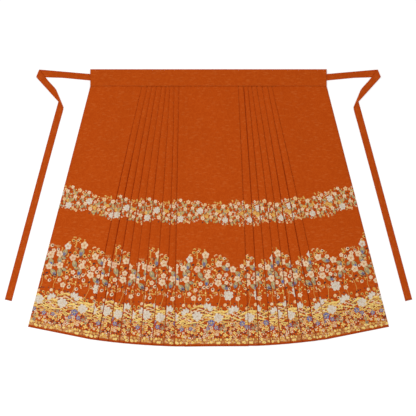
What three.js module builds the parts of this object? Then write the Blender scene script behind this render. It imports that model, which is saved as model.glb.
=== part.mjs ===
// A horse-face skirt, unwrapped and laid face up on a flat surface: two pleated halves that share
// one waistband, with a folded tie lying out from each end of the band.
// Millimetres. +X runs along the waistband, +Y from hem to waist, +Z up from the surface.

import * as THREE from "three";

// Cloth
const CLOTH = 1.0; // wall of a panel and of the band
const TIE_CLOTH = 1.2; // wall of a tie, which is sewn double
const GAP = 0.3; // air between layers and at seams
const LAYER = CLOTH + GAP; // rise from one layer to the next
const BEVEL = 0.4; // takes the sharp corner off a folded edge

// Waistband
const BAND_HALF_WIDTH = 413.7;
const SEAM_Y = 426.3; // the band's lower edge, where the halves run in under it
const BAND_TOP_Y = 485.8;
const TUCK = 12; // how far the halves run in between the band's two leaves
const BAND_FLAT = 15; // the front leaf keeps its height this far up from the seam
const BAND_SHOULDER_Y = 472; // above this line the front leaf comes down to the top fold
const BAND_SHOULDER_Z = 2.9;

// Hem: highest at the side edges, lowest at the middle
const HEM_HALF_WIDTH = 631.8;
const HEM_MIDDLE_Y = -486;
const HEM_RISE = 70.2;
const HEM_POWER = 2.3;

// Pleats
const FOLD_SHARE = 0.55; // the part of a strip's width that the hidden fold reaches under it
const LANDING = 1; // a strip is down on the surface this far before the next fold
const MITRE = 0.3; // keeps the wall's thickness round a bend
const SETTLE = 0.035; // share of the length in which the cloth comes down from the band
const ROWS = [-TUCK / 912, 0, SETTLE, 0.18, 0.36, 0.54, 0.7, 0.85, 1]; // shares of the length, waist to hem

// Lines that run from the waist seam to the hem. waist and hem are the distances from the middle
// at each end, and bow is how far the line swings outwards or inwards half way down.
const SIDE_EDGE = { waist: -BAND_HALF_WIDTH, hem: -HEM_HALF_WIDTH, bow: 0 };
const LEFT_LINES = [
  SIDE_EDGE,
  { waist: -231.7, hem: -420.0, bow: -6.2 },
  { waist: -212.8, hem: -385.4, bow: -6.0 },
  { waist: -196.4, hem: -349.7, bow: -5.2 },
  { waist: -180.3, hem: -311.5, bow: -6.8 },
  { waist: -162.4, hem: -277.2, bow: -6.4 },
  { waist: -147.0, hem: -238.0, bow: -4.9 },
  { waist: -134.0, hem: -196.0, bow: 2.8 },
  { waist: -119.4, hem: -156.1, bow: 6.3 },
  { waist: -101.9, hem: -118.0, bow: -0.7 },
  { waist: -77.0, hem: -78.0, bow: 0 }, // the upper door is down on the lower door
  { waist: 103.6, hem: 140.4, bow: 1.6 }, // the upper door's free edge
];
// The right half is listed as its mirror image, so that both halves run from the side edge inwards.
const RIGHT_LINES = [
  SIDE_EDGE,
  { waist: -220.5, hem: -418.3, bow: -2.5 },
  { waist: -205.5, hem: -377.3, bow: -1.0 },
  { waist: -186.2, hem: -327.3, bow: -4.2 },
  { waist: -167.0, hem: -287.0, bow: -8.1 },
  { waist: -150.0, hem: -250.3, bow: -8.6 },
  { waist: -136.5, hem: -217.0, bow: -3.2 },
  { waist: -121.5, hem: -175.4, bow: -4.0 },
  { waist: -103.6, hem: -140.4, bow: -1.6 }, // the lower door is flat on the surface
  { waist: 84.0, hem: 84.0, bow: 0 }, // the lower door's hidden free edge
];

// How many layers of cloth the band's front leaf lies over, along the band.
const BAND_STACK = [
  { x: -BAND_HALF_WIDTH, layers: 1 },
  { x: -252, layers: 1 },
  { x: -233, layers: 3 },
  { x: -87, layers: 3 },
  { x: -72, layers: 2 },
  { x: 101, layers: 2 },
  { x: 111, layers: 3 },
  { x: 222, layers: 3 },
  { x: 242, layers: 1 },
  { x: BAND_HALF_WIDTH, layers: 1 },
];

// The left tie, from inside the band to its cut end. near is the edge that starts as the upper one,
// far the other, and z is the underside. The tie turns over at each crease.
const TIE_STATIONS = [
  { near: [-404, 468.2], far: [-404, 445.2], z: LAYER },
  { near: [-415, 469.2], far: [-415, 446.2], z: LAYER },
  { near: [-432, 470.7], far: [-432, 447.8], z: 0 },
  { near: [-510, 477.6], far: [-510, 455.3], z: 0 },
  { near: [-592.6, 484.8], far: [-603.4, 458.2], z: 0, crease: "over" },
  { near: [-558.5, 443.0], far: [-573.0, 424.6], z: TIE_CLOTH + GAP },
  { near: [-533.4, 415.8], far: [-506.5, 351.1], z: TIE_CLOTH + GAP, crease: "under" },
  { near: [-525.4, 372.1], far: [-512.0, 329.5], z: 0 },
  { near: [-543.0, 309.0], far: [-520.5, 300.0], z: 0 },
  { near: [-591.0, 132.0], far: [-568.0, 125.6], z: 0 },
  { near: [-652.5, -96.0], far: [-628.8, -102.2], z: 0 },
  { near: [-713, -320.3], far: [-688.8, -326.2], z: 0 },
];

const CLOTH_COLOUR = 0xb6480f;
const TIE_COLOUR = 0xbe4614;

function hemY(x) {
  return HEM_MIDDLE_Y + HEM_RISE * (Math.abs(x) / HEM_HALF_WIDTH) ** HEM_POWER;
}

// The point of one line at a share of the way from the waist seam to the hem.
function onLine(line, share) {
  const x = line.waist + (line.hem - line.waist) * share + line.bow * 4 * share * (1 - share);
  return [x, SEAM_Y + (hemY(line.hem) - SEAM_Y) * share];
}

// A section of cloth is cut across its wall: the points of its under face, of its over face, and
// the pairs of them that face each other through the wall.

// One cross-section of a half at a share of its length. From the side edge inwards it has a plain
// door, then a fold at each pleat line, then the middle door, which comes down to restLayer.
function halfSection(lines, restLayer, share) {
  const lift = LAYER * THREE.MathUtils.clamp(1 - share / SETTLE, 0, 1);
  const under = [];
  const over = [];
  const pairs = [];
  const at = (index, along, shift, z) => {
    const [x0, y0] = onLine(lines[index], share);
    const [x1, y1] = onLine(lines[index + 1], share);
    const x = THREE.MathUtils.lerp(x0, x1, along) + shift;
    return new THREE.Vector3(x, THREE.MathUtils.lerp(y0, y1, along), z + lift);
  };
  const plain = (index, alongs, z) => {
    for (const along of alongs) {
      pairs.push([under.length, over.length]);
      under.push(at(index, along, 0, z));
      over.push(at(index, along, 0, z + CLOTH));
    }
  };
  const middle = LAYER;
  const top = 2 * LAYER;
  const lastFold = lines.length - 3;

  plain(0, [0, 1 / 3, 2 / 3], 0);
  for (let fold = 1; fold <= lastFold; fold++) {
    const rest = fold === lastFold ? restLayer * LAYER : 0;
    const base = under.length;
    for (const [u, o] of [[0, 0], [1, 0], [2, 1], [3, 1], [4, 2], [4, 3], [5, 4], [5, 5], [6, 6], [7, 7]]) {
      pairs.push([base + u, base + o]);
    }
    under.push(
      at(fold, FOLD_SHARE, -BEVEL, 0), // the hidden fold, round its outside
      at(fold, FOLD_SHARE, 0, BEVEL),
      at(fold, FOLD_SHARE, 0, middle + CLOTH - BEVEL),
      at(fold, FOLD_SHARE, -BEVEL, middle + CLOTH),
      at(fold, 0, CLOTH, middle + CLOTH), // inside the fold that shows
      at(fold, 0, CLOTH, top),
      at(fold, FOLD_SHARE, GAP, top), // the strip, down to its landing
      at(fold, 1, -LANDING - MITRE, rest),
    );
    over.push(
      at(fold, FOLD_SHARE, -CLOTH, CLOTH), // inside the hidden fold
      at(fold, FOLD_SHARE, -CLOTH, middle),
      at(fold, 0, BEVEL, middle), // the fold that shows, round its outside
      at(fold, 0, 0, middle + BEVEL),
      at(fold, 0, 0, top + CLOTH - BEVEL),
      at(fold, 0, BEVEL, top + CLOTH),
      at(fold, FOLD_SHARE, GAP + MITRE, top + CLOTH), // the strip, down to its landing
      at(fold, 1, -LANDING, rest + CLOTH),
    );
  }
  plain(lastFold + 1, [1 / 3, 2 / 3, 1], restLayer * LAYER);
  return { under, over, pairs };
}

// One cross-section of the band: a back leaf on the surface, a fold along the top and a front leaf.
function bandSection({ x, layers }) {
  const front = (layers + 1) * LAYER;
  const inside = BAND_TOP_Y - CLOTH;
  const flat = SEAM_Y + BAND_FLAT;
  const foldZ = CLOTH + LAYER;
  const at = ([y, z]) => new THREE.Vector3(x, y, z);
  const under = [
    [SEAM_Y, 0],
    [BAND_TOP_Y - BEVEL, 0],
    [BAND_TOP_Y, BEVEL],
    [BAND_TOP_Y, foldZ - BEVEL],
    [BAND_TOP_Y - BEVEL, foldZ],
    [BAND_SHOULDER_Y, BAND_SHOULDER_Z + CLOTH],
    [flat, front + CLOTH],
    [SEAM_Y, front + CLOTH],
  ].map(at);
  const over = [
    [SEAM_Y, CLOTH],
    [inside, CLOTH],
    [inside, LAYER],
    [BAND_SHOULDER_Y, BAND_SHOULDER_Z],
    [flat, front],
    [SEAM_Y, front],
  ].map(at);
  const pairs = [[0, 0], [1, 1], [2, 1], [3, 2], [4, 2], [5, 3], [6, 4], [7, 5]];
  return { under, over, pairs };
}

// The sections of the left tie. A crease gives two sections on one line, one for each layer.
function tieSections() {
  const sections = [];
  let turned = false;
  const add = (near, far, z, back) => {
    const low = [near, far].map(([x, y]) => new THREE.Vector3(x, y, z));
    const high = [near, far].map(([x, y]) => new THREE.Vector3(x, y, z + TIE_CLOTH));
    const [under, over] = turned ? [high, low] : [low, high];
    for (const point of over) point.add(back);
    sections.push({ under, over, pairs: [[0, 0], [1, 1]] });
  };
  for (const { near, far, z, crease } of TIE_STATIONS) {
    if (!crease) {
      add(near, far, z, new THREE.Vector3());
      continue;
    }
    // The inner face turns round one wall short of the crease, on the side where the tie lies.
    const back = new THREE.Vector3(near[1] - far[1], far[0] - near[0], 0);
    if (crease === "under") back.negate();
    back.setLength(TIE_CLOTH);
    add(near, far, z, back);
    turned = !turned;
    add(near, far, crease === "over" ? z + TIE_CLOTH + GAP : 0, back);
  }
  return sections;
}

// A closed wall through sections that all have the same number of points.
function clothMesh(name, sections, color) {
  const rings = sections.map(({ under, over }) => [...under, ...over.toReversed()]);
  const size = rings[0].length;
  const index = [];
  for (let row = 0; row + 1 < rings.length; row++) {
    for (let point = 0; point < size; point++) {
      const a = row * size + point;
      const b = row * size + ((point + 1) % size);
      index.push(a, b, a + size, b, b + size, a + size);
    }
  }
  const cap = (row, flip) => {
    const { pairs } = sections[row];
    const under = (point) => row * size + point;
    const over = (point) => row * size + size - 1 - point;
    for (let k = 0; k + 1 < pairs.length; k++) {
      const [a, b] = [under(pairs[k][0]), under(pairs[k + 1][0])];
      const [c, d] = [over(pairs[k][1]), over(pairs[k + 1][1])];
      const faces = [];
      if (a !== b) faces.push([a, b, d]);
      if (c !== d) faces.push([a, d, c]);
      for (const [p, q, r] of faces) index.push(p, flip ? r : q, flip ? q : r);
    }
  };
  cap(0, true);
  cap(rings.length - 1, false);

  const geometry = new THREE.BufferGeometry().setFromPoints(rings.flat());
  geometry.setIndex(index);
  geometry.computeVertexNormals();
  const mesh = new THREE.Mesh(geometry, new THREE.MeshStandardMaterial({ color, roughness: 0.75 }));
  mesh.name = name;
  return mesh;
}

// The same sections seen in a mirror across the middle of the skirt, in the order that keeps the faces outwards.
function mirrored(sections) {
  const flip = (points) => points.map(({ x, y, z }) => new THREE.Vector3(-x, y, z));
  return sections.map(({ under, over, pairs }) => ({ under: flip(under), over: flip(over), pairs })).toReversed();
}

function buildSkirt() {
  const leftSections = ROWS.map((share) => halfSection(LEFT_LINES, 1, share));
  const rightSections = ROWS.map((share) => halfSection(RIGHT_LINES, 0, share));
  const skirt = new THREE.Group();
  skirt.add(
    clothMesh("skirt_left_half", leftSections, CLOTH_COLOUR),
    clothMesh("skirt_right_half", mirrored(rightSections), CLOTH_COLOUR),
    clothMesh("waistband", BAND_STACK.map(bandSection), CLOTH_COLOUR),
    clothMesh("tie_left", tieSections(), TIE_COLOUR),
    clothMesh("tie_right", mirrored(tieSections()), TIE_COLOUR),
  );
  return skirt;
}

export default buildSkirt();
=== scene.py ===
"""A horse-face skirt, unwrapped and laid face up on a white floor, seen from straight above.

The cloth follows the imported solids' form: the tables of lines below repeat the part's own, in
millimetres. Everything that is made from them is in metres.
"""

import math
import random

import bpy
import numpy as np
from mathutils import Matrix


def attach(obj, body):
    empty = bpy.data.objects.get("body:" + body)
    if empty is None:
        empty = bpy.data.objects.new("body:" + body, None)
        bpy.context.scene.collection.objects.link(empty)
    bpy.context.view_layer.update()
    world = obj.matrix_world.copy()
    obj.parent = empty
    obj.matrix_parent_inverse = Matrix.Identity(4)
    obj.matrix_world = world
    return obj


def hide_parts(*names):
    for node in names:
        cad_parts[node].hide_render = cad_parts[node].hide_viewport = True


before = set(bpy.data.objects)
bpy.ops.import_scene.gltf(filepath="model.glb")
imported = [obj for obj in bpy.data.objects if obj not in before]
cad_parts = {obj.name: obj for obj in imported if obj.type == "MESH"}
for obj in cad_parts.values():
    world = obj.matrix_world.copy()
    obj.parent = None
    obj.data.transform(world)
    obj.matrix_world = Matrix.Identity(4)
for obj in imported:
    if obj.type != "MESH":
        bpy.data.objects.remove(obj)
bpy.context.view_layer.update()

MM = 0.001

# Cloth, in metres
WALL = 0.8 * MM  # thinner than the solid's wall, and inside it but where a ridge lifts it
LAYER = 1.3 * MM  # rise from one layer to the next
LOWEST = 0.45 * MM  # height of the lowest layer's middle
TURN = LAYER / 2  # radius of a fold, along the middle of the wall
# Offsets (outwards, upwards) of the points inside a fold's half turn, from its lower end up
TURN_ANGLES = np.radians(np.linspace(-90, 90, 7)[1:-1])
TURN_POINTS = list(zip(TURN * np.cos(TURN_ANGLES), TURN * np.sin(TURN_ANGLES)))

# Waistband, in millimetres
BAND_HALF_WIDTH = 413.7
SEAM_Y = 426.3  # the band's lower edge
BAND_TOP_Y = 485.8
TUCK = 12.0  # how far the halves run up into the band

# Hem, in millimetres: highest at the side edges, lowest at the middle
HEM_HALF_WIDTH = 631.8
HEM_MIDDLE_Y = -486.0
HEM_RISE = 70.2
HEM_POWER = 2.3
CLOTH_LENGTH = 912.0  # from the seam to the hem, at the middle

FOLD_SHARE = 0.55  # how much of a strip's width its hidden fold takes up
LANDING = 1.0 * MM  # a strip is down before the next fold by this much
SETTLE = 0.035  # share of the length in which the cloth comes down from the band

# Lines from the waist seam to the hem: distance from the middle at each end, and the bow between
SIDE_EDGE = (-BAND_HALF_WIDTH, -HEM_HALF_WIDTH, 0.0)
LEFT_LINES = [
    SIDE_EDGE,
    (-231.7, -420.0, -6.2),
    (-212.8, -385.4, -6.0),
    (-196.4, -349.7, -5.2),
    (-180.3, -311.5, -6.8),
    (-162.4, -277.2, -6.4),
    (-147.0, -238.0, -4.9),
    (-134.0, -196.0, 2.8),
    (-119.4, -156.1, 6.3),
    (-101.9, -118.0, -0.7),
    (-77.0, -78.0, 0.0),
    (103.6, 140.4, 1.6),
]
RIGHT_LINES = [
    SIDE_EDGE,
    (-220.5, -418.3, -2.5),
    (-205.5, -377.3, -1.0),
    (-186.2, -327.3, -4.2),
    (-167.0, -287.0, -8.1),
    (-150.0, -250.3, -8.6),
    (-136.5, -217.0, -3.2),
    (-121.5, -175.4, -4.0),
    (-103.6, -140.4, -1.6),
    (84.0, 84.0, 0.0),
]

# Depth of painted shade at the foot of each fold, at the waist and lower down, from the side edge inwards
LEFT_SHADES = [
    (0.7, 2.6), (0.4, 2.6), (0.35, 1.6), (0.6, 1.2), (0.3, 0.35),
    (0.5, 1.0), (0.12, 0.6), (0.25, 0.9), (0.5, 0.8),
]
RIGHT_SHADES = [
    (0.3, 0.5), (0.25, 1.8), (0.1, 1.7), (0.12, 0.7),
    (0.3, 0.3), (0.7, 0.5), (1.9, 1.3), (0.35, 0.9),
]
FOOT_REACH = 2.4 * MM  # how far from the next fold that painted shade runs
# Painted shade along the seam under the band's edge, and along the hem: depth, and reach as a share of the
# length
SEAM_SHADE = (0.08, 0.0035)
HEM_SHADE = (0.4, 0.004)

# Soft ridges where the cloth stands off the floor: ends, width and height, in millimetres
RIDGES = [
    ((289, 372), (318, 246), 11, 1.5),
    ((372, 408), (420, 250), 22, 1.0),
    ((300, 405), (330, 330), 12, 0.8),
    ((455, 60), (520, -200), 42, 0.5),
    ((-300, 405), (-340, 240), 18, 1.0),
    ((-372, 400), (-396, 310), 13, 0.8),
    ((-430, 150), (-492, -120), 40, 0.5),
    ((-20, 410), (-26, 190), 20, 0.9),
    ((52, 405), (66, 300), 12, 0.7),
    ((20, 60), (34, -190), 44, 0.4),
]

# How a strip comes down beyond its hidden fold: shares of its reach, and of the fall
BEND_AT = [0, 0.44, 0.5, 0.56, 0.82, 0.92, 1]
BEND_FALL = [0, 0, 0.03, 0.10, 0.75, 0.93, 1]
STRIP_STATIONS = [0, 0.1, 0.22, 0.34, 0.44, 0.5, 0.56, 0.65, 0.74, 0.82, 0.88, 0.92, 0.955, 0.98, 1]
PRESSED = 0.68  # share of their height that the folds keep at the waist
PRESSED_UNTIL = 0.35  # share of the length at which they have all of it

# Grid of a half: rows as shares of the length, close together at the waist, and columns of the doors
WAIST_ROWS = [-TUCK / CLOTH_LENGTH, -0.006, 0.0, 0.005, 0.01, 0.016, 0.023, 0.03, 0.04]
LOWER_ROWS = np.linspace(0.052, 1, 84)
SIDE_DOOR_COLUMNS = 40
MIDDLE_DOOR_COLUMNS = 66

# Pattern, in millimetres of cloth
PLEAT_CLOTH = 66.0  # the cloth that one pleat takes up, hidden folds included
REPEAT = 264.0
LEFT_START = 195.0  # where the pattern begins at the left half's side edge
RIGHT_START = 249.0


def srgb(*colour):
    """A colour given in the eight-bit numbers of a picture, for a shader."""
    linear = [c / 255 / 12.92 if c <= 10 else ((c / 255 + 0.055) / 1.055) ** 2.4 for c in colour]
    return (*linear, 1)


def smooth(x):
    """A soft step from 0 to 1."""
    x = np.clip(x, 0, 1)
    return x * x * (3 - 2 * x)


def hem_y(x):
    """Where the hem lies at this distance from the middle, in millimetres."""
    return HEM_MIDDLE_Y + HEM_RISE * (abs(x) / HEM_HALF_WIDTH) ** HEM_POWER


def on_line(line, share):
    """Points of a line, in metres, at these shares of the way from the seam to the hem."""
    waist, hem, bow = line
    x = waist + (hem - waist) * share + bow * 4 * share * (1 - share)
    y = SEAM_Y + (hem_y(hem) - SEAM_Y) * share
    return x * MM, y * MM


def ridge_height(x, y):
    """How far the ridges lift the cloth at these places, in metres."""
    lift = np.zeros_like(x)
    for start, end, width, height in RIDGES:
        (ax, ay), (bx, by) = ((px * MM, py * MM) for px, py in (start, end))
        dx, dy = bx - ax, by - ay
        length = math.hypot(dx, dy)
        along = ((x - ax) * dx + (y - ay) * dy) / length**2
        off = ((x - ax) * dy - (y - ay) * dx) / length / (width * MM)
        ends = smooth(along / 0.35) * smooth((1 - along) / 0.45)
        lift += height * MM * ends * np.exp(-off * off * 2)
    return lift


def run_along(points):
    """Distance along a row of points, from its first one."""
    return np.concatenate([[0], np.cumsum(np.linalg.norm(np.diff(points, axis=0), axis=1))])


def wall_faces(middle, axis):
    """The faces half a wall over and under a grid, which bends in the plane of z and this axis."""
    step = np.gradient(middle, axis=1)
    normal = np.zeros_like(middle)
    normal[..., axis], normal[..., 2] = -step[..., 2], step[..., axis]
    normal *= WALL / 2 / np.linalg.norm(normal, axis=2, keepdims=True)
    return middle + normal, middle - normal


class Half:
    """One pleated half: the grid of its wall's middle, and what each visible region covers of it.

    It runs from the side edge inwards, so the right half is made in a mirror. rest is how many layers
    its middle door lies above the lowest one.
    """

    def __init__(self, lines, rest, side, shades):
        self.lines, self.rest, self.side, self.shades = lines, rest, side, shades
        self.shares = np.concatenate([WAIST_ROWS, LOWER_ROWS])
        self.columns = []
        self.painted_shade_columns = []
        self.regions = []
        self._side_door()
        last = len(lines) - 3
        for fold in range(1, last + 1):
            self._pleat(fold, last)
        x, y, z = (np.stack([column[k] for column in self.columns], axis=1) for k in range(3))
        pressed = PRESSED + (1 - PRESSED) * smooth(self.shares / PRESSED_UNTIL)
        z = LOWEST + (z - LOWEST) * pressed[:, None]
        settle = LAYER * smooth(1 - self.shares / SETTLE)
        self.middle = np.stack([x, y, z + settle[:, None] + ridge_height(side * x, y)], axis=2)
        # Painted shade along the seam and the hem, joined with the painted shade at the foot of each fold
        ends = ((self.shares, SEAM_SHADE), (1 - self.shares, HEM_SHADE))
        at_ends = sum(depth * np.exp(-((off / reach) ** 2)) for off, (depth, reach) in ends)
        self.painted_shade = np.maximum(np.stack(self.painted_shade_columns, axis=1), at_ends[:, None])
        self.over, self.under = wall_faces(self.middle, 0)

    def _add(self, a, b, distance, height, painted_shade=0):
        """Adds the column that lies this far from line a, on the way to line b, at this height."""
        (xa, ya), (xb, yb) = on_line(self.lines[a], self.shares), on_line(self.lines[b], self.shares)
        y = ya + (yb - ya) * distance / (xb - xa)
        self.columns.append((xa + distance, y, height + 0 * y))
        self.painted_shade_columns.append(painted_shade + 0 * y)

    def _foot(self, fold, distance, reach):
        """Depth of painted shade at this distance, next to the fold that ends the strip after line fold."""
        if fold >= len(self.shades):
            return 0 * distance
        waist, lower = self.shades[fold]
        depth = waist + (lower - waist) * smooth(self.shares / 0.5)
        depth *= smooth(0.3 + self.shares / 0.05)
        depth *= 0.85 + 0.15 * np.sin(9 * self.shares + 2.3 * fold) * np.cos(23 * self.shares + fold)
        return depth * np.exp(-(((distance - reach) / FOOT_REACH) ** 2))

    def _region(self, a, b, start, end, stations, cuts=()):
        """Notes that the next columns, from start to end beyond line a, are a region that shows there."""
        region = {"a": a, "b": b, "start": start, "end": end, "stations": stations, "cuts": cuts}
        self.regions.append(region | {"first": len(self.columns)})

    def _side_door(self):
        """The flat cloth from the side edge to the first fold, with its columns closer there."""
        width = on_line(self.lines[1], self.shares)[0] - on_line(self.lines[0], self.shares)[0]
        stations = 1 - (1 - np.linspace(0, 1, SIDE_DOOR_COLUMNS)) ** 1.6
        self._region(0, 1, 0 * width, width, stations)
        for along in stations:
            self._add(0, 1, along * width, LOWEST, self._foot(0, along * width, width))

    def _pleat(self, fold, last):
        """The hidden fold under line fold, the fold that shows, and the strip beyond it.

        Beyond the last pleat's strip the same cloth goes on as the middle door.
        """
        far = fold + 1 if fold < last else fold + 2
        xs = [on_line(self.lines[k], self.shares)[0] for k in (fold, fold + 1, far)]
        reach = xs[1] - xs[0] - LANDING
        depth = FOLD_SHARE * (xs[1] - xs[0])
        inner, outer = depth - WALL / 2 - TURN, WALL / 2 + TURN
        low, middle, top = LOWEST, LOWEST + LAYER, LOWEST + 2 * LAYER
        for along in (0.3, 0.65, 1):
            self._add(fold, far, along * inner, low)
        for out, up in TURN_POINTS:
            self._add(fold, far, inner + out, low + TURN + up)
        for along in (1, 0.5, 0):
            self._add(fold, far, outer + along * (inner - outer), middle)
        for out, up in TURN_POINTS:
            self._add(fold, far, outer - out, middle + TURN + up)
        rest = LOWEST + (self.rest * LAYER if fold == last else 0)
        self._region(fold, far, outer + 0 * reach, reach, STRIP_STATIONS, BEND_AT[1:-1])
        for along in STRIP_STATIONS:
            distance = outer + along * (reach - outer)
            height = top + (rest - top) * np.interp(along, BEND_AT, BEND_FALL)
            self._add(fold, far, distance, height, self._foot(fold, distance, reach))
        if fold < last:
            return
        end = xs[2] - xs[0]
        stations = np.linspace(0, 1, MIDDLE_DOOR_COLUMNS)
        self._region(fold, far, reach, end, stations)
        for along in stations[1:]:
            distance = reach + along * (end - reach)
            self._add(fold, far, distance, rest, self._foot(fold, distance, reach))
        self.regions[-1]["first"] -= 1

    def length(self, index):
        """Length of a line from the seam to the hem, in metres."""
        (x0, y0), (x1, y1) = (on_line(self.lines[index], share) for share in (0.0, 1.0))
        return math.hypot(x1 - x0, y1 - y0)

    def begins(self, region):
        """Cloth coordinate, in metres, of the fold or edge at which a region's strip begins."""
        first = np.hypot(*(np.array(on_line(self.lines[1], 1.0)) - on_line(self.lines[0], 1.0)))
        return 0.0 if region["a"] == 0 else first + region["a"] * PLEAT_CLOTH * MM

    def cloth_map(self):
        """Cloth coordinates of the grid's columns and rows, for the weave: across, and up from the hem."""
        up = (1 - self.shares) * self.length(3)  # a line among the pleats stands for them all
        return run_along(self.middle[-1]), up[:, None]

    def place(self, region, s, t):
        """Where cloth points (s, t) of a region lie: share of its visible width, and share of the length."""
        a, b = region["a"], region["b"]
        start = self.begins(region)
        share = 1 - t / self.length(a)
        for _ in range(2):  # each pass mends the length and width that the last one assumed
            (xa, ya), (xb, yb) = on_line(self.lines[a], share), on_line(self.lines[b], share)
            width = np.hypot(xb - xa, yb - ya)
            along = (s - start) / width
            share = 1 - t / (self.length(a) + along * (self.length(b) - self.length(a)))
        distance = along * (xb - xa)
        first, last = (np.interp(share, self.shares, region[key]) for key in ("start", "end"))
        return (distance - first) / (last - first), share

    def surface(self, region, along, share):
        """Points of the over face, in the part's frame, at shares of a region's width and of the length."""
        row = np.interp(share, self.shares, np.arange(len(self.shares)))
        stations = region["stations"]
        column = region["first"] + np.interp(along, stations, np.arange(len(stations)))
        r = np.minimum(row.astype(int), len(self.shares) - 2)
        c = np.minimum(column.astype(int), self.over.shape[1] - 2)
        p, q = (row - r)[:, None], (column - c)[:, None]
        top = self.over[r, c] * (1 - q) + self.over[r, c + 1] * q
        low = self.over[r + 1, c] * (1 - q) + self.over[r + 1, c + 1] * q
        return (top * (1 - p) + low * p) * [self.side, 1, 1]


def add_object(name, data):
    obj = bpy.data.objects.new(name, data)
    bpy.context.collection.objects.link(obj)
    return obj


def mesh_object(name, vertices, faces, material):
    """A smooth-shaded mesh in the scene."""
    mesh = bpy.data.meshes.new(name)
    mesh.from_pydata([tuple(v) for v in vertices], [], faces)
    mesh.materials.append(material)
    mesh.polygons.foreach_set("use_smooth", [True] * len(mesh.polygons))
    mesh.update()
    return add_object(name, mesh)


def shell(name, over, under, across, up, material, side=1, painted_shade=0.0):
    """A closed thin wall between two grids of points, with its cloth coordinates as a map.

    The last argument is how deep the painted shade is at each point, 0 for none. Its bake map keeps
    the over face and the under face in the two halves of a square.
    """
    shape = over.shape[:2]
    count = shape[0] * shape[1]
    across, up, depth = (np.broadcast_to(values, shape).reshape(-1) for values in (across, up, painted_shade))
    vertices = np.concatenate([over.reshape(-1, 3), under.reshape(-1, 3)]) * [side, 1, 1]
    index = np.arange(count).reshape(shape)
    a, b, c, d = index[:-1, :-1], index[:-1, 1:], index[1:, 1:], index[1:, :-1]
    top = np.stack([d, c, b, a], axis=-1).reshape(-1, 4)
    bottom = np.stack([a, b, c, d], axis=-1).reshape(-1, 4) + count
    rim = np.concatenate([index[0, :-1], index[:-1, -1], index[-1, :0:-1], index[:0:-1, 0]])
    after = np.roll(rim, -1)
    edge = np.stack([rim, after, after + count, rim + count], axis=-1)
    faces = np.concatenate([top, bottom, edge])
    if side < 0:
        faces = faces[:, ::-1]
    obj = mesh_object(name, vertices, faces.tolist(), material)
    place = np.tile(np.stack([across, up], axis=1), (2, 1))
    size = place.max(0) - place.min(0)
    baked = (place - place.min(0)) / size * [0.49, 0.99] + 0.004
    baked[count:, 0] += 0.5
    # Depth of painted shade at each point, which the cloth's material mixes into its colour
    shade = obj.data.attributes.new("painted_shade", "FLOAT", "POINT")
    shade.data.foreach_set("value", np.tile(depth, 2))
    corners = faces.reshape(-1)
    for label, values in (("cloth", place), ("OFBake", baked)):
        layer = obj.data.uv_layers.new(name=label)
        layer.data.foreach_set("uv", values[corners].reshape(-1))
    return obj


# Shapes of the pattern, in millimetres of cloth. A motif gives (colour, level, points) of each.


def ellipse(s, t, along, across, angle=0.0, sides=8):
    c, d = math.cos(angle), math.sin(angle)
    points = []
    for k in range(sides):
        turn = math.tau * (k + 0.5) / sides
        x, y = along * math.cos(turn), across * math.sin(turn)
        points.append((s + x * c - y * d, t + x * d + y * c))
    return points


def lens(s, t, length, width, angle, steps=4):
    """A pointed leaf from its root at (s, t)."""
    c, d = math.cos(angle), math.sin(angle)
    half = [(k / steps, math.sin(math.pi * k / steps) * width / length / 2) for k in range(steps + 1)]
    outline = half + [(x, -y) for x, y in half[-2:0:-1]]
    return [(s + length * (x * c - y * d), t + length * (x * d + y * c)) for x, y in outline]


def stroke(points, width):
    """A thin line through points, as one four-sided shape a stretch."""
    shapes = []
    for (s0, t0), (s1, t1) in zip(points, points[1:]):
        long = math.hypot(s1 - s0, t1 - t0)
        ds, dt = (t1 - t0) / long * width / 2, -(s1 - s0) / long * width / 2
        shapes.append([(s0 + ds, t0 + dt), (s1 + ds, t1 + dt), (s1 - ds, t1 - dt), (s0 - ds, t0 - dt)])
    return shapes


def toward(s, t, distance, angle):
    """The point this far from (s, t), in this direction."""
    return s + distance * math.cos(angle), t + distance * math.sin(angle)


def blossom(s, t, radius, turn, petal="cream"):
    """Five round petals that run together, with a small eye and short stamens."""
    yield petal, 4, ellipse(s, t, 0.5 * radius, 0.5 * radius, turn)
    for k in range(5):
        a = turn + math.tau * k / 5
        yield petal, 4, ellipse(*toward(s, t, 0.54 * radius, a), 0.46 * radius, 0.44 * radius, a)
        if radius > 8:
            stamen = [toward(s, t, reach * radius, a + 0.63) for reach in (0.2, 0.52)]
            yield "ochre", 6, stroke(stamen, 0.09 * radius)[0]
    yield "ochre", 7, ellipse(s, t, 0.20 * radius, 0.20 * radius, turn, 6)


def leaf(s, t, length, angle, tip="violet"):
    """A leaf with a dark edge, a coloured tip and a vein."""
    edge = toward(s, t, 0.04 * length, angle + 0.6)
    yield "umber", 0, lens(*edge, 1.03 * length, 0.6 * length, angle, 5)
    yield "olive", 1, lens(s, t, length, 0.52 * length, angle, 5)
    yield tip, 2, ellipse(*toward(s, t, 0.68 * length, angle), 0.23 * length, 0.15 * length, angle, 7)
    yield "sand", 3, stroke([(s, t), toward(s, t, 0.55 * length, angle)], 0.05 * length)[0]


def berry(s, t, radius, turn):
    """A round bud, open on one side, with a dark eye."""
    rim = ("cream", "sand", "gold")[int(turn / 2.1)]
    yield rim, 2, ellipse(s, t, radius, 0.88 * radius, turn, 9)
    yield "ochre", 3, ellipse(*toward(s, t, 0.22 * radius, turn), 0.55 * radius, 0.46 * radius, turn, 7)
    yield "ink", 4, ellipse(*toward(s, t, 0.3 * radius, turn), 0.48 * radius, 0.42 * radius, turn, 6)


PETALS = ["cream", "cream", "blush", "cream", "cream", "cream", "blush", "white"]
SMALL_PETALS = ["cream", "cream", "sand", "cream", "blush"]


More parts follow.
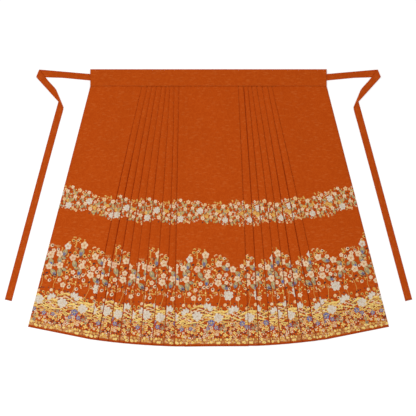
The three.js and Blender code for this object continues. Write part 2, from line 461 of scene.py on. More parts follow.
def cluster(s, t, size, rng, petals=PETALS, tips=("violet", "blue", "violet", "sage")):
    """A blossom with leaves that hang under it."""
    lean = rng.uniform(-0.7, 0.7)
    way = rng.choice([-1, 1])
    down = lean - 1.57
    yield from leaf(s + 0.2 * way * size, t + 0.4 * size, 2.1 * size, down + 0.4 * way, rng.choice(tips))
    if rng.random() < 0.75:
        yield from leaf(s - 0.2 * way * size, t + 0.3 * size, 1.3 * size, down - 0.7 * way, "sage")
    for side in (-1, 1):
        shadow = toward(s, t, 0.8 * size, lean - 1.6 + 0.9 * side)
        yield "ink", 0, ellipse(*shadow, 0.34 * size, 0.2 * size, lean, 7)
    place = s - lean * 0.5 * size, t + 0.85 * size
    yield from blossom(*place, 0.8 * size, rng.uniform(0, 6.3), rng.choice(petals))


def sprig(s, t, length, turn):
    """A fine curved twig with dots along it."""
    points = [toward(s, t, length * k / 3, turn + 0.35 * k) for k in range(4)]
    colour = ("gold", "sand", "ochre")[int(turn / 2.1)]
    for shape in stroke(points, 1.9):
        yield colour, 0, shape
    for x, y in points[1:]:
        yield colour, 1, ellipse(x, y, 2.7, 2.1, turn, 6)


def peony(s, t, radius, turn):
    """A full pale bloom: three rings of rounded petals with thin grey edges, a little uneven."""
    yield "white", 4, ellipse(s, t, 0.75 * radius, 0.68 * radius, turn, 12)
    rings = [(7, 0.66, 0.34, 0.31), (5, 0.36, 0.28, 0.24), (3, 0.13, 0.17, 0.15)]
    for level, (count, out, long, wide) in enumerate(rings):
        for k in range(count):
            a = turn + 0.4 * level + math.tau * k / count
            place = toward(s, t, out * radius * (1 + 0.10 * math.sin(3 * a + turn)), a)
            for colour, rise, rim in (("grey", 4, 0.03), ("white", 5, 0)):
                petal = ellipse(*place, (long + rim) * radius, (wide + rim) * radius, a)
                yield colour, rise + 2 * level, petal
    yield "ochre", 10, ellipse(s, t, 0.09 * radius, 0.09 * radius, turn, 6)


def lotus(s, t, size, lean):
    """A half-open pale bloom seen from the side, on a short gold stem."""
    yield "gold", 3, stroke([(s, t - 0.9 * size), (s, t - 0.4 * size)], 2)[0]
    for order, spread in enumerate((-1.05, 1.05, -0.6, 0.6, 0.0)):
        a = math.pi / 2 - lean + spread
        root = toward(s, t - 0.5 * size, 0.06 * size, a)
        long = size * (1.25 if abs(spread) < 1 else 1.05)
        for colour, rise, rim in (("grey", 4, 0.07), ("white", 5, 0)):
            yield colour, rise + order, lens(*root, long + rim * size, (0.62 + rim) * size, a)
    yield "ochre", 10, ellipse(s, t - 0.4 * size, 0.26 * size, 0.13 * size, -lean, 7)


def iris(s, t, size, turn):
    """A blue bloom: uneven rounded petals round a pale heart, with a short stem of its own colour."""
    yield "blue", 6, stroke([(s, t), toward(s, t, 1.3 * size, turn + 3.6)], 2.4)[0]
    for k, long in enumerate((0.44, 0.36, 0.50, 0.34, 0.40)):
        a = turn + 1.2 * k
        colour = "blue" if k in (1, 4) else "violet"
        petal = ellipse(*toward(s, t, 0.48 * size, a), long * size, 0.40 * size, a, 10)
        yield colour, 7 + k % 2, petal
        vein = [toward(s, t, reach * size, a) for reach in (0.4, 0.75)]
        yield "cream", 9, stroke(vein, 1.3)[0]
    yield "pale_gold", 10, ellipse(s, t, 0.24 * size, 0.2 * size, turn, 7)
    yield "umber", 11, ellipse(s, t, 0.1 * size, 0.1 * size, 0, 5)


def bank(s, t, length, rise, rng):
    """Rolling gold ground: a thick uneven crest with three thin ribbons that follow under it."""
    count = max(6, round(length / 8))
    for strand, colour in enumerate(("gold", rng.choice(["pale_gold", "cream"]), "pale_gold", "gold")):
        shift = rng.uniform(-14, 14)
        stations = []
        for k in range(count + 1):
            swell = math.sin(math.pi * k / count)
            height = t - 10 * strand + rise * (1 - 0.25 * strand) * swell**2 + rng.uniform(-2, 2)
            thick = 1.4 + (10 * swell**2 if strand == 0 else 3.4) * rng.uniform(0.4, 1.1)
            stations.append((s + shift + length * (k / count - 0.5), height, thick))
        for (s0, t0, w0), (s1, t1, w1) in zip(stations, stations[1:]):
            crest = [(s1, t1), (s0, t0)]
            yield colour, 4, [(s0, t0 - w0), (s1, t1 - w1), *crest]
            if strand % 2 == 0:
                yield "umber", 3, [(s0, t0 - w0 - 1.8), (s1, t1 - w1 - 1.8), *crest]
            if strand == 0:
                yield "pale_gold", 5, [(s0, t0 - 0.6 * w0), (s1, t1 - 0.65 * w1), *crest]


def floret(s, t, radius, turn, colour):
    """Four small petals round an eye."""
    for k in range(4):
        a = turn + math.pi / 2 * k
        yield colour, 2, ellipse(*toward(s, t, 0.55 * radius, a), 0.5 * radius, 0.38 * radius, a, 6)
    eye = "ink" if turn < 2.5 else "ochre"
    yield eye, 5, ellipse(s, t, 0.26 * radius, 0.26 * radius, 0, 5)


def dot(rng, colours):
    """A maker of dots, each in one of these colours."""
    return lambda s, t, radius, turn: [
        (rng.choice(colours), 3, ellipse(s, t, radius, 0.85 * radius, turn, 6))
    ]


def tinted(rng, motif, colours):
    """A maker of a motif, each time in one of these colours."""
    return lambda s, t, radius, turn: motif(s, t, radius, turn, rng.choice(colours))


def raised(edge, rise):
    """A border's edge, moved up."""
    return lambda s: edge(s) + rise


class Tile:
    """One repeat of a border, filled from the largest motifs down, each clear of those before it."""

    def __init__(self, seed):
        self.rng = random.Random(seed)
        self.shapes = []
        self.taken = []

    def clear(self, s, t, radius):
        for s1, t1, r1 in self.taken:
            gap = abs(s - s1) % REPEAT
            if math.hypot(min(gap, REPEAT - gap), t - t1) < radius + r1:
                return False
        return True

    def put(self, s, t, radius, shapes):
        self.taken.append((s, t, radius))
        self.shapes += shapes

    def scatter(self, tries, low, high, radii, room, make):
        """Tries random places between two heights, and puts a motif in each that is clear.

        radii are its smallest and largest size, and room is the share of it that others keep off.
        """
        for _ in range(tries):
            s = self.rng.uniform(0, REPEAT)
            bottom, top = (edge(s) if callable(edge) else edge for edge in (low, high))
            t = self.rng.uniform(bottom, top)
            radius = self.rng.uniform(*radii)
            if self.clear(s, t, radius * room):
                self.put(s, t, radius * room, make(s, t, radius, self.rng.uniform(0, math.tau)))


# Blooms that lead the wide border, set one by one: place, size, and turn or lean
PEONIES = [(26, 106, 18, 0.2), (100, 100, 17, 1.1), (134, 178, 18, 0.6), (208, 104, 17, 2.0)]
LOTUSES = [(60, 138, 19, 0.5), (156, 128, 20, -0.35), (252, 122, 16, -0.6)]
IRISES = [
    (76, 82, 14, 0.3), (93, 66, 9, 2.0), (64, 62, 8, 4.4), (184, 80, 12, 1.9),
    (200, 68, 8, 0.8), (4, 62, 8, 0.1), (236, 60, 9, 4.2),
]
# Each kind's places and motif, and the share of its size that others keep off
BLOOMS = [(PEONIES, peony, 0.86), (LOTUSES, lotus, 0.7), (IRISES, iris, 0.72)]
BANKS = 7  # spread along and up by golden shares
STEMS = [
    [(60, 120), (52, 150), (56, 180), (50, 215)],
    [(132, 110), (142, 150), (136, 190), (146, 240), (140, 280)],
    [(196, 120), (204, 160), (198, 200), (208, 236)],
    [(250, 120), (244, 165), (254, 210), (246, 262)],
    [(96, 130), (106, 170), (98, 215), (104, 250)],
    [(12, 130), (20, 170), (10, 215), (16, 250)],
    [(172, 130), (166, 175), (174, 220), (170, 262)],
]


def wide_top(s):
    """Ragged upper edge of the wide border."""
    return 290 + 21 * math.sin(2 * math.pi * s / REPEAT + 0.6) + 14 * math.sin(6 * math.pi * s / REPEAT)


def blossom_edge(s):
    """Lower edge of the thick of the blossoms in the wide border."""
    return 206 + 8 * math.sin(4 * math.pi * s / REPEAT + 1)


def fill_blossoms(tile):
    """Blossoms with leaves, buds, petals and twigs, up to the wide border's ragged edge."""
    rng = tile.rng
    flower = tinted(rng, blossom, PETALS)

    def spray(s, t, radius, turn):
        return cluster(s, t, radius, rng)

    def petal(s, t, radius, turn):
        colour = rng.choice(["gold", "sand", "blush", "pale_gold"])
        return [(colour, 2, lens(s, t, 2.2 * radius, 1.3 * radius, turn))]

    def leaflet(s, t, radius, turn):
        return [("olive", 1, lens(s, t, 2.4 * radius, radius, turn))]

    tile.scatter(900, blossom_edge, wide_top, (14, 17), 1.18, spray)
    tile.scatter(130, blossom_edge, raised(wide_top, 8), (7.5, 11), 1.0, flower)
    tile.scatter(600, blossom_edge, raised(wide_top, 14), (5.2, 7.4), 0.94, berry)
    tile.scatter(18, 160, 204, (5.2, 7.2), 1.2, berry)
    tile.scatter(14, 160, 200, (7.5, 10), 1.2, flower)
    tile.scatter(260, 176, raised(wide_top, 4), (2.8, 4.4), 1.2, petal)
    tile.scatter(160, 176, wide_top, (2.8, 3.8), 1.0, dot(rng, ["umber", "ink"]))
    tile.scatter(1800, 172, raised(wide_top, 18), (8, 12), 0.32, sprig)
    tile.scatter(120, 170, raised(wide_top, 8), (4.6, 6.4), 0.9, leaflet)
    tile.scatter(260, 170, raised(wide_top, 20), (1.8, 3), 1.4, dot(rng, ["gold", "cream", "gold"]))


def fill_ground(tile):
    """Florets, buds, gold leaves and dots between the blooms near the hem."""
    rng = tile.rng
    ground = ["gold", "pale_gold", "cream", "pale_gold", "cream"]
    ground += ["cream", "sand", "olive", "sage", "pale_gold"]
    bright = ["pale_gold", "cream", "gold", "cream", "white"]

    def bud(s, t, radius, turn):
        """A whole bud, or its rim alone."""
        return list(berry(s, t, radius, turn))[: rng.choice([1, 3])]

    def gold_leaf(s, t, radius, turn):
        return [("gold", 1, lens(s, t, 2.6 * radius, 1.3 * radius, turn))]

    tile.scatter(60, 32, 92, (2.8, 4.0), 1.0, dot(rng, ["ink", "umber"]))
    tile.scatter(1700, 31, 84, (5.2, 7.8), 0.74, tinted(rng, floret, ground))
    tile.scatter(300, 80, 146, (5.2, 6.8), 0.98, bud)
    tile.scatter(300, 30, 96, (2.4, 3.6), 0.9, dot(rng, ["ink", "umber"]))
    tile.scatter(160, 90, 150, (2.6, 3.6), 0.9, dot(rng, ["umber", "ink"]))
    tile.scatter(500, 30, 120, (3, 4.4), 0.86, gold_leaf)
    tile.scatter(1400, 28, 124, (2.2, 3.6), 0.76, dot(rng, bright))


def fill_hem_strip(tile):
    """Two staggered rows of gold pebbles on bronze, with small dots between, along the hem."""
    rng = tile.rng
    low, high, pieces = 8.4, 28, 48
    wide = REPEAT / pieces + 0.01
    for k in range(pieces):
        s = k * REPEAT / pieces
        tile.shapes.append(("bronze", 0, [(s, low), (s + wide, low), (s + wide, high), (s, high)]))
    first_row, row_step, pebbles = 13.4, 9, 27
    step = REPEAT / pebbles
    for row in range(2):
        for k in range(pebbles):
            s = (k + 0.5 * row) * step + rng.uniform(-3.2, 3.2)
            t = first_row + row_step * row + rng.uniform(-2.2, 2.2)
            colour = rng.choice(["gold", "gold", "pale_gold", "pale_gold", "gold", "ochre"])
            size = rng.uniform(3.4, 5.8)
            tile.shapes.append((colour, 2, ellipse(s, t, size, 0.86 * size, rng.uniform(0, 3), 9)))
            beside = s + 0.5 * step
            if rng.random() < 0.6:
                tile.shapes.append(("cream", 3, ellipse(beside, t + rng.uniform(-3, 3), 1.9, 1.7, 0, 6)))
            elif rng.random() < 0.8:
                tile.shapes.append(("umber", 3, ellipse(beside, t + rng.uniform(-4, 4), 1.9, 1.5, 0, 6)))


def border_tile():
    """The wide border: large blooms, rolling ground and stems, and then what fills it."""
    tile = Tile(20)
    for places, bloom, room in BLOOMS:
        for s, t, size, turn in places:
            tile.put(s, t, size * room, bloom(s, t, size, turn))
    for k in range(BANKS):
        place = (k * 0.382 % 1) * REPEAT, 96 + 34 * (k * 0.618 % 1)
        tile.shapes += bank(*place, tile.rng.uniform(55, 90), tile.rng.uniform(10, 26), tile.rng)
    for stem in STEMS:
        tile.shapes += [("gold", 0, shape) for shape in stroke(stem, 1.5)]
    fill_blossoms(tile)
    fill_ground(tile)
    fill_hem_strip(tile)
    return tile.shapes


# Blooms of the narrow border: place and size
SMALL_PEONIES = [(30, 474, 12), (118, 442, 11), (190, 482, 12), (226, 446, 12)]


def narrow_edge(s, base, wave):
    """One of the narrow border's ragged edges."""
    turn = math.tau * s / REPEAT
    return base + wave * math.sin(turn + 1.3) + 0.6 * wave * math.sin(4 * turn)


def band_tile():
    """The narrow border: small blossoms with leaves under them, buds and gold dots between."""
    tile = Tile(41)
    rng = tile.rng
    tips = ("gold", "sage", "gold")
    bits = ["gold", "pale_gold", "cream", "pale_gold", "sand", "cream"]

    def low(s):
        return narrow_edge(s, 434, 5)

    def high(s):
        return narrow_edge(s + 60, 497, 6)

    def spray(s, t, radius, turn):
        return cluster(s, t, radius, rng, SMALL_PETALS, tips)

    def lump(s, t, radius, turn):
        colour = rng.choice(["gold", "olive", "gold", "sage"])
        return [(colour, 1, ellipse(s, t, 1.3 * radius, radius, turn, 9))]

    for s, t, radius in SMALL_PEONIES:
        tile.put(s, t, radius * 0.9, peony(s, t, radius, s))
    tile.scatter(500, low, high, (7.4, 10), 1.3, spray)
    tile.scatter(90, raised(low, 2), raised(high, -10), (5, 7), 0.62, lump)
    tile.scatter(300, low, high, (4.6, 6.6), 1.04, tinted(rng, blossom, SMALL_PETALS))
    tile.scatter(700, low, high, (3.2, 4.7), 0.92, berry)
    tile.scatter(900, raised(low, -3), raised(high, 8), (6, 9), 0.34, sprig)
    tile.scatter(1400, raised(low, -4), raised(high, 8), (3, 4.4), 0.82, tinted(rng, floret, bits))
    tile.scatter(1200, raised(low, -2), raised(high, 8), (1.7, 2.8), 0.9, dot(rng, bits + ["umber"]))
    return tile.shapes


def clip(points, limit, sign):
    """The part of a convex shape before a limit across it, or with sign -1 the part beyond it."""
    kept = []
    for k, point in enumerate(points):
        before = points[k - 1]
        inside, was_inside = (sign * (limit - p[0]) >= 0 for p in (point, before))
        if inside != was_inside:
            along = (limit - before[0]) / (point[0] - before[0])
            kept.append(tuple(b + (p - b) * along for b, p in zip(before, point)))
        if inside:
            kept.append(point)
    return kept


LEVEL_STEP = 0.03 * MM  # from one level of the figures to the next
RAISED = 0.16 * MM  # height of the lowest woven figure over the cloth
FOOT_CLEAR = 1.2  # millimetres of bare cloth beside the next fold


def split(points, cuts):
    """A shape's parts between the cuts across it."""
    for cut in cuts:
        if min(p[0] for p in points) < cut < max(p[0] for p in points):
            yield clip(points, cut, 1)
            points = clip(points, cut, -1)
    yield points


def weave_pattern(half, start, shapes, flip):
    """The shapes of the pattern that show on a half, by colour: (region, height, corners) of each.

    The heights differ a little within a level too, so that shapes that meet seldom share a plane. The
    right half's last region lies under the left half's door and has none.
    """
    woven = {}
    spans = [(min(p[0] for p in points), max(p[0] for p in points)) for _, _, points in shapes]
    heights = [RAISED + LEVEL_STEP * (level + 0.618 * k % 1) for k, (_, level, _) in enumerate(shapes)]
    for region in half.regions if half.rest else half.regions[:-1]:
        a, b = (on_line(half.lines[region[key]], half.shares) for key in ("a", "b"))
        width = float(np.max(np.hypot(b[0] - a[0], b[1] - a[1]))) / MM
        shown = float(region["end"].max() - region["start"].min()) / MM
        low = start + half.begins(region) / MM + float(region["start"].min()) / MM
        reach = min(width, shown + 3)
        first, last = (low, low + reach) if not flip else (-low - reach, -low)
        # On a strip the figures stop short of what overlaps it, but run on into a middle door that shows
        at_fold = region["cuts"] and (half.rest == 0 or region["a"] < len(half.lines) - 3)
        limit = 1 - FOOT_CLEAR / shown if at_fold else 1.0
        for (colour, _, points), height, (left, right) in zip(shapes, heights, spans):
            repeats = math.ceil((first - right) / REPEAT), math.floor((last - left) / REPEAT) + 1
            for repeat in range(*repeats):
                s = np.array([p[0] + repeat * REPEAT for p in points])
                s = (-s if flip else s) - start
                t = np.array([p[1] for p in points])
                along, share = half.place(region, s * MM, t * MM)
                corners = clip(clip(list(zip(along, share)), 0, -1), limit, 1)
                if len(corners) < 3:
                    continue
                for part in split(corners, region["cuts"]):
                    woven.setdefault(colour, []).append((region, height, part))
    return woven


def pattern_objects(half, label, start, shapes, flip, materials):
    """The woven figures of a half, one object for each colour."""
    objects = []
    woven = weave_pattern(half, start, shapes, flip)
    for colour, pieces in sorted(woven.items()):
        vertices, faces = [], []
        for region in half.regions:
            own = [(height, corners) for r, height, corners in pieces if r is region]
            if not own:
                continue
            flat = np.array([corner for _, corners in own for corner in corners])
            heights = np.array([height for height, corners in own for _ in corners])
            points = half.surface(region, flat[:, 0], flat[:, 1])
            points[:, 2] += heights
            base = len(vertices)
            vertices.extend(points.tolist())
            for _, corners in own:
                faces.append(list(range(base, base + len(corners))))
                base += len(corners)
        obj = mesh_object(f"{colour}_figures_{label}", vertices, faces, materials[colour])
        turn_up(obj.data)
        objects.append(obj)
    return objects


def turn_up(mesh):
    """Turns over each flat face that looks down."""
    for polygon in [p for p in mesh.polygons if p.normal.z < 0]:
        polygon.flip()
    mesh.update()


# Materials


def new_material(name):
    """A material with nodes, and its shader."""
    material = bpy.data.materials.new(name)
    material.use_nodes = True
    return material, material.node_tree.nodes["Principled BSDF"]


def set_inputs(node, inputs):
    """Sets each input to a value, or links it to the output that feeds it."""
    for key, value in inputs.items():
        if isinstance(value, bpy.types.NodeSocket):
            node.id_data.links.new(value, node.inputs[key])
        else:
            node.inputs[key].default_value = value


def add_node(material, kind, inputs, output=0, **settings):
    """Adds a node to a material, and gives one of its outputs."""
    node = material.node_tree.nodes.new(f"ShaderNode{kind}")
    for key, value in settings.items():
        setattr(node, key, value)
    set_inputs(node, inputs)
    return node.outputs[output]


def compute(material, operation, *values):
    return add_node(material, "Math", dict(enumerate(values)), operation=operation)


def mix(material, a, b, factor):
    return add_node(material, "Mix", {"A": a, "B": b, "Factor": factor}, "Result", data_type="RGBA")


SILK_GLINT = (1.0, 0.35, 0.08, 1)
FLECK = srgb(216, 122, 58)
# Colour of the painted shade at the foot of the folds, along the seam and hem, and at the ties' edges
FOOT_SHADE = srgb(130, 18, 0)
FOOT_SHARE = 0.4  # how much of that painted shade a point of depth 1 takes
RELIEF = 0.0002  # depth of the weave's relief, in metres


def brocade(name, colour, figure, dashes, roughness=0.55):
    """Ground cloth: satin with a small tone-on-tone figure, short light dashes, slubs and a soft sheen.

    dashes is how many cells of them there are to a metre, along each side of the cloth map.
    """
    material, shader = new_material(name)
    cloth = add_node(material, "UVMap", {}, uv_map="cloth")

    # Figure: rings round scattered cells
    cells = {"Vector": cloth, "Scale": 62, "Smoothness": 0.35}
    distance = add_node(material, "TexVoronoi", cells, feature="SMOOTH_F1")
    rings = compute(material, "SINE", compute(material, "MULTIPLY", distance, 15))
    edge = add_node(material, "MapRange", {"Value": rings, "From Min": -0.5, "From Max": 0.6})
    tone = mix(material, colour, figure, edge)

    # Short light dashes
    dash_place = add_node(material, "Mapping", {"Vector": cloth, "Scale": (*dashes, 1)})
    off = add_node(material, "TexVoronoi", {"Vector": dash_place, "Scale": 1})
    dash_range = {"Value": off, "From Min": 0.38, "From Max": 0.12, "To Max": 0.2}
    flecked = mix(material, tone, FLECK, add_node(material, "MapRange", dash_range))

    # Painted shade at the foot of each fold, along the seam and the hem, and at the ties' edges: the colour
    # mixed toward a dark red
    painted_shade = add_node(material, "Attribute", {}, "Fac", attribute_name="painted_shade")
    shaded = mix(material, flecked, FOOT_SHADE, compute(material, "MULTIPLY", painted_shade, FOOT_SHARE))

    # Slubs along the weft, and wide soft changes of shade
    slub_place = add_node(material, "Mapping", {"Vector": cloth, "Scale": (90, 900, 1)})
    slubs = add_node(material, "TexNoise", {"Vector": slub_place, "Scale": 1, "Detail": 3})
    drift = add_node(material, "TexNoise", {"Vector": cloth, "Scale": 9, "Detail": 2})
    level = compute(material, "MULTIPLY_ADD", drift, 0.10, 0.90)
    value = compute(material, "MULTIPLY_ADD", slubs, 0.10, level)

    # Twill lines and the figure stand up a little, and the figure is glossier
    lines = {"Vector": cloth, "Scale": 620}
    twill = add_node(material, "TexWave", lines, "Fac", bands_direction="DIAGONAL")
    height = compute(material, "MULTIPLY_ADD", twill, 0.35, edge)
    gloss = {"Value": edge, "To Min": roughness, "To Max": roughness - 0.1}
    finish = {
        "Base Color": add_node(material, "HueSaturation", {"Color": shaded, "Value": value}),
        "Normal": add_node(material, "Bump", {"Height": height, "Strength": 0.25, "Distance": RELIEF}),
        "Roughness": add_node(material, "MapRange", gloss),
        "Specular IOR Level": 0.15,
        "Specular Tint": SILK_GLINT,
    }
    set_inputs(shader, finish)
    return material


def floss(name, colour, darker, metallic=0.0):
    """Pattern weft: fine cords of one colour that lie side by side, with darker spots."""
    material, shader = new_material(name)
    place = add_node(material, "TexCoord", {}, "Object")
    blotch = add_node(material, "TexNoise", {"Vector": place, "Scale": 190, "Detail": 2})
    share = add_node(material, "MapRange", {"Value": blotch, "From Min": 0.36, "From Max": 0.56})
    waves = {"Vector": place, "Scale": 420, "Distortion": 0.6}
    cords = add_node(material, "TexWave", waves, "Fac", bands_direction="Y")
    finish = {
        "Base Color": mix(material, srgb(*darker), srgb(*colour), share),
        "Normal": add_node(material, "Bump", {"Height": cords, "Strength": 0.3, "Distance": RELIEF}),
        "Roughness": 0.5,
        "Metallic": metallic,
        "Specular IOR Level": 0.35,
    }
    set_inputs(shader, finish)
    return material


# Colours of the pattern's threads, light and dark, and how metallic they are where they are gilt
FLOSS = {
    "cream": [(235, 205, 168), (219, 181, 138)],
    "sand": [(236, 190, 134), (218, 164, 106)],
    "blush": [(230, 190, 156), (212, 163, 126)],
    "white": [(226, 211, 191), (207, 190, 168)],
    "grey": [(176, 156, 132), (150, 126, 100)],
    "olive": [(176, 158, 108), (156, 134, 86)],
    "sage": [(160, 144, 112), (140, 122, 92)],
    "violet": [(124, 114, 140), (106, 94, 120)],
    "blue": [(90, 98, 156), (76, 80, 136)],
    "gold": [(226, 170, 80), (202, 140, 56), 0.1],
    "pale_gold": [(244, 210, 120), (226, 180, 88), 0.05],
    "ochre": [(208, 140, 72), (188, 118, 54)],
    "bronze": [(184, 108, 38), (160, 82, 26)],
    "umber": [(124, 52, 14), (104, 40, 12)],
    "ink": [(84, 34, 12), (66, 26, 10)],
}


# Waistband and ties

# Layers under the band's front leaf: distance from the middle, and how many
BAND_STACK = [
    (-BAND_HALF_WIDTH, 1), (-252, 1), (-233, 3), (-87, 3), (-72, 2),
    (101, 2), (111, 3), (222, 3), (242, 1), (BAND_HALF_WIDTH, 1),
]
BAND_COLUMNS = 190
BAND_FLAT = 15.0  # from the seam up to here the front leaf follows the layers
BAND_SHOULDER = (472.0, 2.9)  # place and height at which it levels off below its top fold
PUCKER = 0.12 * MM
PUCKER_WAVE = 0.38  # radians to a millimetre
FLOOR_GAP = 0.05 * MM
FRONT_GAP = 0.1 * MM


def front_height(x):
    """Height of what lies under the band's front leaf, with the leaf's slight pucker."""
    stack = np.interp(x / MM, *zip(*BAND_STACK))
    return (stack + 1) * LAYER + PUCKER * np.sin(x / MM * PUCKER_WAVE) * (stack - 1)


def build_band(material):
    """The folded strip: up the back leaf, over the top fold, and down the front leaf to its turned edge."""
    x = np.linspace(-BAND_HALF_WIDTH, BAND_HALF_WIDTH, BAND_COLUMNS) * MM
    front = front_height(x) + WALL / 2 + FRONT_GAP
    back = WALL / 2 + FLOOR_GAP
    seam = SEAM_Y * MM
    top = BAND_TOP_Y * MM - back - TURN
    shoulder_y, shoulder_z = BAND_SHOULDER[0] * MM, BAND_SHOULDER[1] * MM + back
    columns = [(y + 0 * x, back + 0 * x) for y in np.linspace(seam, top, 8)]
    columns += [(top + out + 0 * x, back + TURN + up + 0 * x) for out, up in TURN_POINTS]
    for y in np.linspace(top, seam, 22):
        if y > shoulder_y:
            blend = smooth((top - y) / (top - shoulder_y))
            z = back + LAYER + (shoulder_z - back - LAYER) * blend + 0 * x
        else:
            blend = smooth((shoulder_y - y) / (shoulder_y - seam - BAND_FLAT * MM))
            z = shoulder_z + (front - shoulder_z) * blend
        columns.append((y + 0 * x, z))
    middle = np.stack([np.stack([x, y, z], axis=1) for y, z in columns], axis=1)
    under, over = wall_faces(middle, 1)  # the strip goes up the back first, so its under face is inside
    return shell("band_cloth", over, under, run_along(middle[0]), x[:, None], material)


# Ties, in metres, and their stations in millimetres: the two edges, the height and the fold there
TIE_WIDTH = 24 * MM
TIE_STEP = 9 * MM
TIE_COLUMNS = 13
TIE_WALL = 1.2 * MM
TIE_RISE = 1.5 * MM  # a tie that lies on itself is this much higher
TIE_STATIONS = [
    ((-404, 468.2), (-404, 445.2), 1.3, ""),
    ((-415, 469.2), (-415, 446.2), 1.3, ""),
    ((-432, 470.7), (-432, 447.8), 0, ""),
    ((-510, 477.6), (-510, 455.3), 0, ""),
    ((-592.6, 484.8), (-603.4, 458.2), 0, "over"),
    ((-558.5, 443.0), (-573.0, 424.6), 1.5, ""),
    ((-533.4, 415.8), (-506.5, 351.1), 1.5, "under"),
    ((-525.4, 372.1), (-512.0, 329.5), 0, ""),
    ((-543.0, 309.0), (-520.5, 300.0), 0, ""),
    ((-591.0, 132.0), (-568.0, 125.6), 0, ""),
    ((-652.5, -96.0), (-628.8, -102.2), 0, ""),
    ((-713, -320.3), (-688.8, -326.2), 0, ""),
]


def edge_pair(near, far, height):
    return [np.array([*near, height]), np.array([*far, height])]


def tie_sections():
    """Pairs of edge points through a tie, (near, far) of one face and (near, far) of the other."""
    sections = []
    turned = False

    def add(near, far, low):
        faces = edge_pair(near, far, low), edge_pair(near, far, low + TIE_WALL)
        sections.append(faces[::-1] if turned else faces)

    previous = None
    for near, far, z, fold in TIE_STATIONS:
        near, far, z = np.array(near) * MM, np.array(far) * MM, z * MM
        if previous is None:
            add(near, far, z)
        else:
            near0, far0, z0 = previous
            steps = max(1, round(np.linalg.norm((near + far - near0 - far0) / 2) / TIE_STEP))
            for k in range(1, steps if fold else steps + 1):
                along = k / steps
                add(near0 + (near - near0) * along, far0 + (far - far0) * along, z0 + (z - z0) * along)
        if fold:
            sign = 1 if fold == "over" else -1
            back = np.array([near[1] - far[1], far[0] - near[0]])
            back /= np.linalg.norm(back) * sign
            outer, inner = (TIE_RISE + TIE_WALL) / 2, (TIE_RISE - TIE_WALL) / 2
            centre = z + TIE_WALL / 2 + sign * TIE_RISE / 2
            for angle in np.radians(np.linspace(-90, 90, 7)):
                faces = []
                for radius in (outer, inner):
                    shift = back * (outer - radius * math.cos(angle))
                    height = centre + sign * radius * math.sin(angle)
                    faces.append(edge_pair(near + shift, far + shift, height))
                sections.append(faces)
            turned = not turned
            z += sign * TIE_RISE
        previous = near, far, z
    return sections


def build_tie(name, side, material):
    """A turned and pressed tie: nearly flat and thinner at its edges, with shade painted along them."""
    shares = (1 - np.cos(np.linspace(0, math.pi, TIE_COLUMNS))) / 2
    thick = (1 - 0.55 * np.abs(2 * shares - 1) ** 5)[:, None]
    over, under = [], []
    for section in tie_sections():
        a, b = (np.array([near + (far - near) * share for share in shares]) for near, far in section)
        middle, half = (a + b) / 2, (a - b) / 2
        over.append(middle - half * thick)
        under.append(middle + half * thick)
    over, under = np.array(over), np.array(under)
    run = run_along(((over + under) / 2)[:, TIE_COLUMNS // 2])
    # Painted shade along the tie's edges
    painted_shade = 0.75 * np.abs(2 * shares - 1) ** 6
    return shell(name, over, under, shares * TIE_WIDTH, run[:, None], material, side, painted_shade)


# A stitch: half its length, half its width and its height, and its corners as shares of them
STITCH = np.array([1.3, 0.275, 0.35]) * MM
STITCH_CORNERS = [
    (-1, 0, 0), (-0.6, -1, 0), (0.6, -1, 0), (1, 0, 0),
    (0.6, 1, 0), (-0.6, 1, 0), (-0.5, 0, 1), (0.5, 0, 1),
]
STITCH_FACES = [(0, 1, 6), (1, 2, 7, 6), (2, 3, 7), (3, 4, 7), (4, 5, 6, 7), (5, 0, 6)]
STITCH_STEP = 3.5
TOPSTITCH_Y = SEAM_Y + 2.6


def build_topstitch(material):
    """Short threads in a row along the band's lower edge."""
    x = np.arange(-BAND_HALF_WIDTH + 3, BAND_HALF_WIDTH - 2, STITCH_STEP) * MM
    z = front_height(x) + WALL + FRONT_GAP + 0.02 * MM
    vertices, faces = [], []
    for point in np.stack([x, np.full_like(x, TOPSTITCH_Y * MM), z], axis=1):
        faces += [tuple(len(vertices) + k for k in face) for face in STITCH_FACES]
        vertices += [point + STITCH * corner for corner in STITCH_CORNERS]
    return mesh_object("band_topstitch", vertices, faces, material)


# Camera, light and floor

PICTURE = 416  # pixels to a side
PIXEL = 3.5 * MM  # length of cloth that one of them shows
CAMERA_HEIGHT = 9.0
SENSOR = 36
WHITE = (1, 1, 1, 1)


def build_camera():
    """A camera far above the skirt, with the picture's middle half a pixel left of the skirt's."""
    data = bpy.data.cameras.new("camera")
    data.sensor_width = SENSOR
    data.lens = SENSOR * CAMERA_HEIGHT / (PICTURE * PIXEL)
    camera = add_object("camera", data)
    camera.location = (-0.5 * PIXEL, 0, CAMERA_HEIGHT)
    bpy.context.scene.camera = camera


def build_floor():
    bpy.ops.mesh.primitive_plane_add(size=14, location=(0, 0, -0.0002))
    floor = bpy.context.object
    floor.name = "floor"
    material, shader = new_material("white_floor")
    finish = {
        "Base Color": (0.5, 0.5, 0.5, 1),
        "Roughness": 0.9,
        "Specular IOR Level": 0,
        "Emission Color": WHITE,
        "Emission Strength": 0.6,
    }
    set_inputs(shader, finish)
    floor.data.materials.append(material)


def build_light(name, kind, place, energy, **settings):
    light = bpy.data.lights.new(name, kind)
    light.energy = energy
    for key, value in settings.items():
        setattr(light, key, value)
    lamp = add_object(name, light)
    lamp.location = place
    return lamp


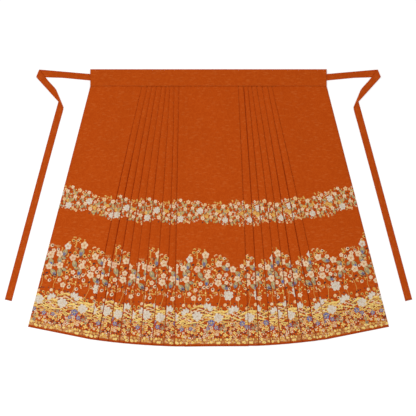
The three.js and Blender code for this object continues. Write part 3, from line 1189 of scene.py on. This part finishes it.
def build_lights():
    """A pale sky, a low soft sun from each side, and a lamp over the left of the hem."""
    world = bpy.data.worlds.new("studio")
    world.use_nodes = True
    set_inputs(world.node_tree.nodes["Background"], {"Color": WHITE, "Strength": 0.37})
    bpy.context.scene.world = world
    for name, place, energy in (
        ("left_sun", (-1.0, 0.25, 0.62), 1.16),
        ("right_sun", (1.0, 0.2, 0.62), 1.02),
    ):
        sun = build_light(name, "SUN", place, energy, angle=0.16)
        sun.rotation_euler = (-sun.location).to_track_quat("-Z", "Y").to_euler()
    build_light("low_left", "AREA", (-0.7, -0.5, 2.4), 17, size=1.2)
    bpy.context.scene.view_settings.view_transform = "Standard"


# The skirt's pieces, each on the part's one body


def dress(obj, slot, *nodes):
    """Puts a piece on the part's one body, and hides the nodes that it stands for. slot, the finish that it
    takes, is not used.
    """
    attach(obj, "root")
    if nodes:
        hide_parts(*nodes)


def dress_halves():
    ground = brocade("rust_brocade", srgb(183, 70, 13), srgb(188, 75, 16), (38, 150))
    threads = {key: floss(f"{key}_floss", *values) for key, values in FLOSS.items()}
    left, right = Half(LEFT_LINES, 1, 1, LEFT_SHADES), Half(RIGHT_LINES, 0, -1, RIGHT_SHADES)
    shapes = border_tile() + band_tile()
    for half, label, start, flip, flat in (
        (left, "left", LEFT_START, False, (1.03, 0.93)),
        (right, "right", RIGHT_START, True, (0.95, 0.93)),
    ):
        walls = half.over, half.under, *half.cloth_map()
        cloth = shell(f"{label}_half_cloth", *walls, ground, half.side, half.painted_shade)
        dress(cloth, "skirt_cloth", f"skirt_{label}_half")
        figures = pattern_objects(half, label, start, shapes, flip, threads)
        for obj in figures:
            dress(obj, "skirt_cloth")


def dress_band():
    band = build_band(brocade("band_brocade", srgb(182, 71, 14), srgb(187, 76, 17), (150, 38)))
    dress(band, "band_cloth", "waistband")
    seam = build_topstitch(floss("sewing_thread", (176, 70, 18), (160, 60, 14)))
    dress(seam, "band_cloth")


def dress_ties():
    ground = brocade("tie_brocade", srgb(180, 69, 14), srgb(186, 73, 17), (150, 38), 0.5)
    for side, label in ((1, "left"), (-1, "right")):
        tie = build_tie(f"tie_{label}_cloth", side, ground)
        dress(tie, "tie_cloth", f"tie_{label}")


build_camera()
build_floor()
build_lights()
dress_halves()
dress_band()
dress_ties()
